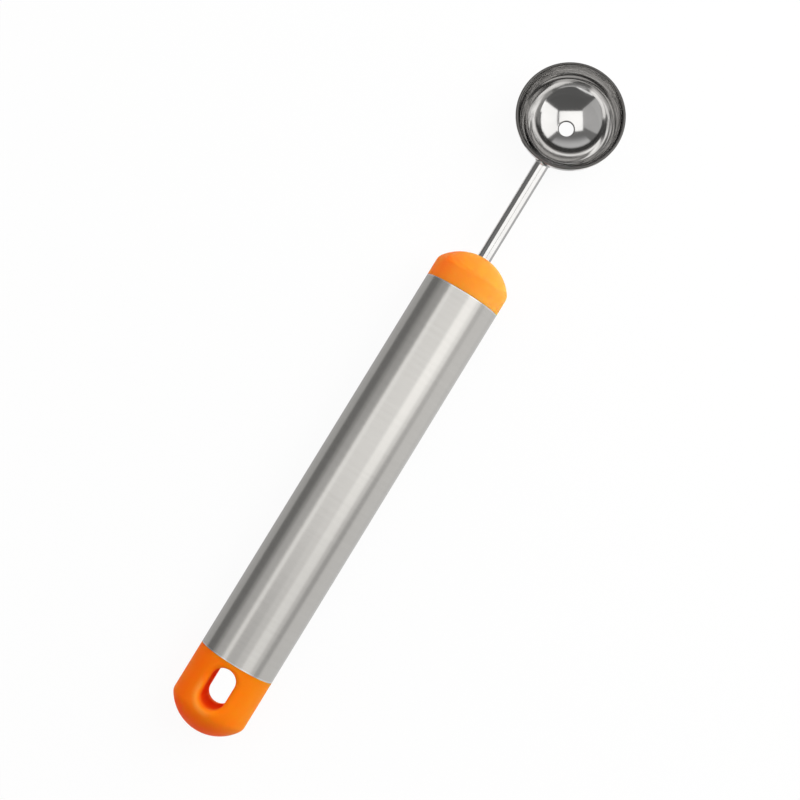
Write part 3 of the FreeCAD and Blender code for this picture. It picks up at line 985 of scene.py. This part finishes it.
class SetStudio(bpy.types.Operator):
    """Set up the camera, the white floor and the light tent"""

    bl_idname = "baller.set_studio"
    bl_label = "Studio"

    GLOW_COLOUR = (1.0, 0.995, 0.985, 1.0)
    WHITE = (1.0, 1.0, 1.0, 1.0)
    SLOT_CARD_HEIGHT = 0.2 * MM
    MAT_HEIGHT = 1 * MM
    MAT_SIDES = (12 * MM, 80 * MM)
    TUBE_CARDS_BEHIND = 80 * MM
    TUBE_CARDS_AHEAD = 8 * MM
    ROD_CARDS_PAST_BOWL = 2.5 * MM
    FAR_FADE = (0.62, 1.15)

    def execute(self, context):
        studio = context.scene.baller_studio
        context.scene.view_settings.view_transform = "Standard"
        self.camera(context.scene, studio)
        self.floor(studio)
        self.world(context.scene)
        self.tent(studio)
        self.tube_cards(studio)
        self.rod_cards(studio)
        self.slot_card(studio, context.scene.baller_sizes)
        self.lamp(studio)
        return {"FINISHED"}

    @staticmethod
    def camera(scene, studio):
        """Stands the camera over the handle and rolls it to the handle's slant in the picture."""
        place = Vector(studio.camera_place)
        back = (place - Vector(studio.camera_aim)).normalized()
        along = Vector((1.0, 0.0, 0.0))
        along = (along - back * along.dot(back)).normalized()
        across = back.cross(along)
        slant = studio.handle_slant
        right = along * math.cos(slant) - across * math.sin(slant)
        up = along * math.sin(slant) + across * math.cos(slant)
        turned = Matrix((right, up, back)).transposed().to_4x4()
        data = bpy.data.cameras.new("camera")
        data.lens = studio.camera_lens
        data.sensor_width = studio.camera_sensor
        data.sensor_fit = "HORIZONTAL"
        data.clip_start = 10 * MM
        data.dof.use_dof = False
        camera = bpy.data.objects.new("camera", data)
        camera.matrix_world = Matrix.Translation(place) @ turned
        scene.collection.objects.link(camera)
        scene.camera = camera

    def floor(self, studio):
        """A white table top that takes the object's shadow."""
        material = bpy.data.materials.new("floor_white")
        sheet = NodeSheet(material)
        matt = sheet.node("ShaderNodeBsdfDiffuse", inputs={"Color": (*[studio.floor_white] * 3, 1.0)})
        glow = sheet.node("ShaderNodeEmission", inputs={"Color": self.WHITE, "Strength": 1.0})
        path = sheet.node("ShaderNodeLightPath")
        mirrored = path.output("Is Glossy Ray") + path.output("Is Transmission Ray")
        white = path.output("Is Camera Ray") * studio.floor_glow + mirrored * studio.mirror_glow
        sheet.surface(sheet.node("ShaderNodeMixShader", inputs={0: white, 1: matt, 2: glow}))
        plate = self.plate("floor", Matrix.Scale(studio.floor_size, 4), material)
        plate.visible_camera = True

    def world(self, scene):
        """Plain white all round."""
        scene.world = bpy.data.worlds.new("studio")
        sheet = NodeSheet(scene.world)
        sky = sheet.node("ShaderNodeBackground", inputs={"Color": self.WHITE, "Strength": 1.0})
        sheet.node("ShaderNodeOutputWorld", inputs={"Surface": sky})

    @staticmethod
    def plate(name, matrix, material):
        """A flat unit square of the stage, placed by a matrix and hidden from the camera."""
        mesh = bmesh.new()
        bmesh.ops.create_grid(mesh, x_segments=1, y_segments=1, size=0.5, matrix=matrix)
        data = bpy.data.meshes.new(name)
        mesh.to_mesh(data)
        mesh.free()
        data.materials.append(material)
        plate = bpy.data.objects.new(name, data)
        bpy.context.scene.collection.objects.link(plate)
        plate.visible_camera = False
        return plate

    def glow(self, name, strength):
        """A plain glowing surface of one strength."""
        material = bpy.data.materials.new(name)
        sheet = NodeSheet(material)
        inputs = {"Color": self.GLOW_COLOUR, "Strength": strength}
        sheet.surface(sheet.node("ShaderNodeEmission", inputs=inputs))
        return material

    @staticmethod
    def faded_glow(name, axis, ends, strengths):
        """A surface that glows on its face, by a strength that changes along an axis, and is clear behind."""
        first, last = ((strength,) * 3 for strength in strengths)
        material = bpy.data.materials.new(name)
        sheet = NodeSheet(material)
        place = sheet.node("ShaderNodeSeparateXYZ", inputs={0: sheet.place()}, output=axis)
        colour = sheet.mixed(sheet.ranged(place, *ends), first, last)
        glow = sheet.node("ShaderNodeEmission", inputs={"Color": colour, "Strength": 1.0})
        clear = sheet.node("ShaderNodeBsdfTransparent")
        behind = sheet.node("ShaderNodeNewGeometry", output="Backfacing")
        sheet.surface(sheet.node("ShaderNodeMixShader", inputs={0: behind, 1: glow, 2: clear}))
        return material

    def tent(self, studio):
        """Panels round the bowl, set square to the picture, with darker cloth behind them.

        A wall has the side of the picture that it stands on, its distance from the bowl, its two ends, and
        its lower and upper edge. A roof has its left, right, near and far ends and its height. The measures
        are in tent sizes. The rod's side mirrors the low panel_foot.
        """
        size = studio.tent_size
        fade = [height * size for height in self.FAR_FADE]
        key = self.glow("panel_key", studio.key_strength)
        painted_light_side = self.glow("panel_pale", studio.left_strength)
        grey = self.faded_glow("panel_grey", "Z", fade, (studio.far_foot, studio.far_strength))
        dark = self.glow("panel_dark", studio.dark_strength)
        cloth = self.glow("tent_cloth", studio.cloth_strength)
        right, far, left, near = 0.0, 90.0, 180.0, 270.0
        walls = [
            ("panel_right", key, right, 0.86, -0.49, 0.83, 0.51, 1.80),
            ("panel_far", grey, far, 0.90, -0.67, 0.65, 0.27, 1.18),
            ("panel_left", painted_light_side, left, 0.82, -0.62, 0.67, 0.41, 1.93),
            ("panel_foot", key, right, 0.86, -0.56, -0.12, 0.00, 0.51),
            ("panel_near", dark, near, 0.46, -0.655, 0.71, 0.17, 1.93),
        ]
        cloths = {"cloth_right": right, "cloth_far": far, "cloth_left": left, "cloth_near": near}
        walls += [(name, cloth, side, 1.10, -1.10, 1.10, 0.00, 2.10) for name, side in cloths.items()]
        roofs = (
            ("panel_top", key, -0.87, 0.81, -0.48, 0.965, 2.00),
            ("cloth_top", cloth, -1.10, 1.10, -1.10, 1.10, 2.10),
        )
        upright = Matrix.Rotation(-QUARTER_TURN, 4, "Y")
        for name, material, side, distance, begin, end, low, high in walls:
            facing = Matrix.Rotation(math.radians(side), 4, "Z")
            middle = (distance, (begin + end) / 2, (low + high) / 2)
            sides = (high - low, end - begin)
            self.tent_plate(studio, name, material, facing, middle, upright, sides)
        for name, material, left_end, right_end, near_end, far_end, height in roofs:
            middle = ((left_end + right_end) / 2, (near_end + far_end) / 2, height)
            sides = (right_end - left_end, near_end - far_end)
            self.tent_plate(studio, name, material, Matrix(), middle, Matrix(), sides)

    def tent_plate(self, studio, name, material, facing, middle, stand, sides):
        """A panel or a cloth of the tent, measured in tent sizes. A cloth gives matt surfaces no light."""
        size = studio.tent_size
        turn = Matrix.Rotation(-studio.handle_slant, 4, "Z")
        home = Matrix.Translation((BOWL_HIGH.x - BOWL_RADIUS, 0.0, 0.0)) @ turn
        scale = Matrix.Diagonal((*(Vector((*sides, 1.0)) * size), 1.0))
        place = home @ facing @ Matrix.Translation(Vector(middle) * size)
        plate = self.plate(name, place @ stand @ scale, material)
        plate.visible_diffuse = name.startswith("panel")

    def tube_cards(self, studio):
        """Long cards round the tube that only metal sees, so that its streaks run straight along it.

        Each spans two angles about the handle's axis, and has a strength at the tube's rear end, one at its
        front end, and the shares of the tube's length between which it changes. Two more lie on the floor.
        """
        span = (TUBE_LOW.x - self.TUBE_CARDS_BEHIND, TUBE_HIGH.x + self.TUBE_CARDS_AHEAD)
        early, even, late = (0.0, 0.6), (0.15, 0.85), (0.3, 0.9)
        cards = (
            ("strip_left_low", -111, -90, 0.50, 0.50, even),
            ("flag_left", -90, -63, 0.20, 0.20, even),
            ("strip_left", -63, -54, 0.355, 0.325, late),
            ("strip_left_high", -54, -33, 0.54, 0.43, late),
            ("strip_crest", -32, -21, 1.00, 1.10, early),
            ("strip_top", -21, 3, 0.565, 0.95, early),
            ("strip_top_right", 3, 20, 0.69, 0.95, early),
            ("strip_right_high", 20, 44, 0.98, 1.34, even),
            ("strip_right", 44, 55, 0.71, 1.10, late),
            ("flag_right", 55, 69, 0.45, 0.64, late),
            ("strip_right_low", 69, 111, 0.73, 0.79, even),
        )
        for name, begin, end, rear, front, change in cards:
            edges = self.about_handle(studio.tube_card_radius, begin, end)
            self.card(name, span, edges, (rear, front), change)
        near, far = self.MAT_SIDES
        height = self.MAT_HEIGHT
        self.card("mat_left", span, ((near, height), (far, height)), (0.50, 0.50), even)
        self.card("mat_right", span, ((-far, height), (-near, height)), (0.69, 0.71), even)

    def rod_cards(self, studio):
        """Two low cards beside the rod that only metal sees: a dark one on the left, a grey one on the right.

        Each has two angles about the handle's axis and a strength.
        """
        span = (FRONT_HIGH.x, BOWL_LOW.x + self.ROD_CARDS_PAST_BOWL)
        for name, begin, end, strength in (("flag_rod", -108, -72, 0.18), ("strip_rod", 84, 150, 0.6)):
            edges = self.about_handle(studio.rod_card_radius, begin, end)
            self.card(name, span, edges, (strength, strength), (0.0, 1.0))

    def slot_card(self, studio, size):
        """A small glowing card on the floor under the hanging slot, which lights its wall from below."""
        middle = slot_centre(size)
        middle.z = self.SLOT_CARD_HEIGHT
        scale = Matrix.Diagonal((size.slot_length, size.slot_width, 1.0, 1.0))
        glow = self.glow("card_slot", studio.slot_strength)
        card = self.plate("card_slot", Matrix.Translation(middle) @ scale, glow)
        card.visible_glossy = False
        card.visible_shadow = False

    @staticmethod
    def about_handle(radius, *degrees):
        """Points on a circle about the handle's axis, as sides and heights.

        Angles run from straight up towards the right, which is -Y.
        """
        turns = [math.radians(turn) for turn in degrees]
        return [(-radius * math.sin(turn), HANDLE_HEIGHT + radius * math.cos(turn)) for turn in turns]

    def card(self, name, span, edges, strengths, change):
        """A glowing card between two lines along the handle, for metal alone.

        The lines are given by their sides and heights.
        """
        first, second = (Vector((0.0, *edge)) for edge in edges)
        along = Vector((span[1] - span[0], 0.0, 0.0))
        across = second - first
        facing = along.cross(across).normalized()
        middle = (first + second + along) / 2 + Vector((span[0], 0.0, 0.0))
        matrix = Matrix.Translation(middle) @ Matrix((along, across, facing)).transposed().to_4x4()
        ends = [TUBE_LOW.x + place * (TUBE_HIGH.x - TUBE_LOW.x) for place in change]
        card = self.plate(name, matrix, self.faded_glow(name, "X", ends, strengths))
        card.visible_diffuse = False
        card.visible_shadow = False

    @staticmethod
    def lamp(studio):
        """A soft lamp that gives matt surfaces their light side. The panels stand in for it in mirrors."""
        distance = studio.lamp_distance
        turn, rise = studio.lamp_turn, studio.lamp_rise
        level = math.cos(rise)
        way = Vector((level * math.cos(turn), level * math.sin(turn), math.sin(rise)))
        data = bpy.data.lights.new("soft_lamp", "AREA")
        data.shape = "SQUARE"
        data.size = studio.lamp_size
        data.energy = studio.lamp_level * math.pi ** 2 * distance ** 2
        lamp = bpy.data.objects.new("soft_lamp", data)
        facing = way.to_track_quat("Z", "Y").to_matrix().to_4x4()
        lamp.matrix_world = Matrix.Translation(Vector(studio.lamp_aim) + way * distance) @ facing
        lamp.visible_camera = False
        lamp.visible_glossy = False
        bpy.context.scene.collection.objects.link(lamp)


class BallerPanel(bpy.types.Panel):
    """Lists the melon baller's pieces and its sizes, finishes and studio"""

    bl_idname = "VIEW3D_PT_baller"
    bl_label = "Melon Baller"
    bl_space_type = "VIEW_3D"
    bl_region_type = "UI"
    bl_category = "Melon Baller"

    def draw(self, context):
        layout = self.layout
        for operator in OPERATORS:
            layout.operator(operator.bl_idname)
        for group in (getattr(context.scene, name) for name in GROUPS):
            box = layout.box()
            for name in group.bl_rna.properties.keys():
                if name not in ("rna_type", "name"):
                    box.prop(group, name)


GROUPS = {"baller_sizes": BallerSizes, "baller_finishes": BallerFinishes, "baller_studio": BallerStudio}
OPERATORS = (BuildTube, BuildFrontCap, BuildRearCap, BuildRod, BuildWeld, BuildBowl, SetStudio)


def register():
    for name, group in GROUPS.items():
        bpy.utils.register_class(group)
        setattr(bpy.types.Scene, name, PointerProperty(type=group))
    for operator in OPERATORS:
        bpy.utils.register_class(operator)
    bpy.utils.register_class(BallerPanel)


def unregister():
    bpy.utils.unregister_class(BallerPanel)
    for operator in reversed(OPERATORS):
        bpy.utils.unregister_class(operator)
    for name, group in reversed(GROUPS.items()):
        delattr(bpy.types.Scene, name)
        bpy.utils.unregister_class(group)


def main():
    register()
    bpy.ops.baller.build_tube()
    bpy.ops.baller.build_front_cap()
    bpy.ops.baller.build_rear_cap()
    bpy.ops.baller.build_rod()
    bpy.ops.baller.build_weld()
    bpy.ops.baller.build_bowl()
    bpy.ops.baller.set_studio()


if __name__ == "__main__":
    main()
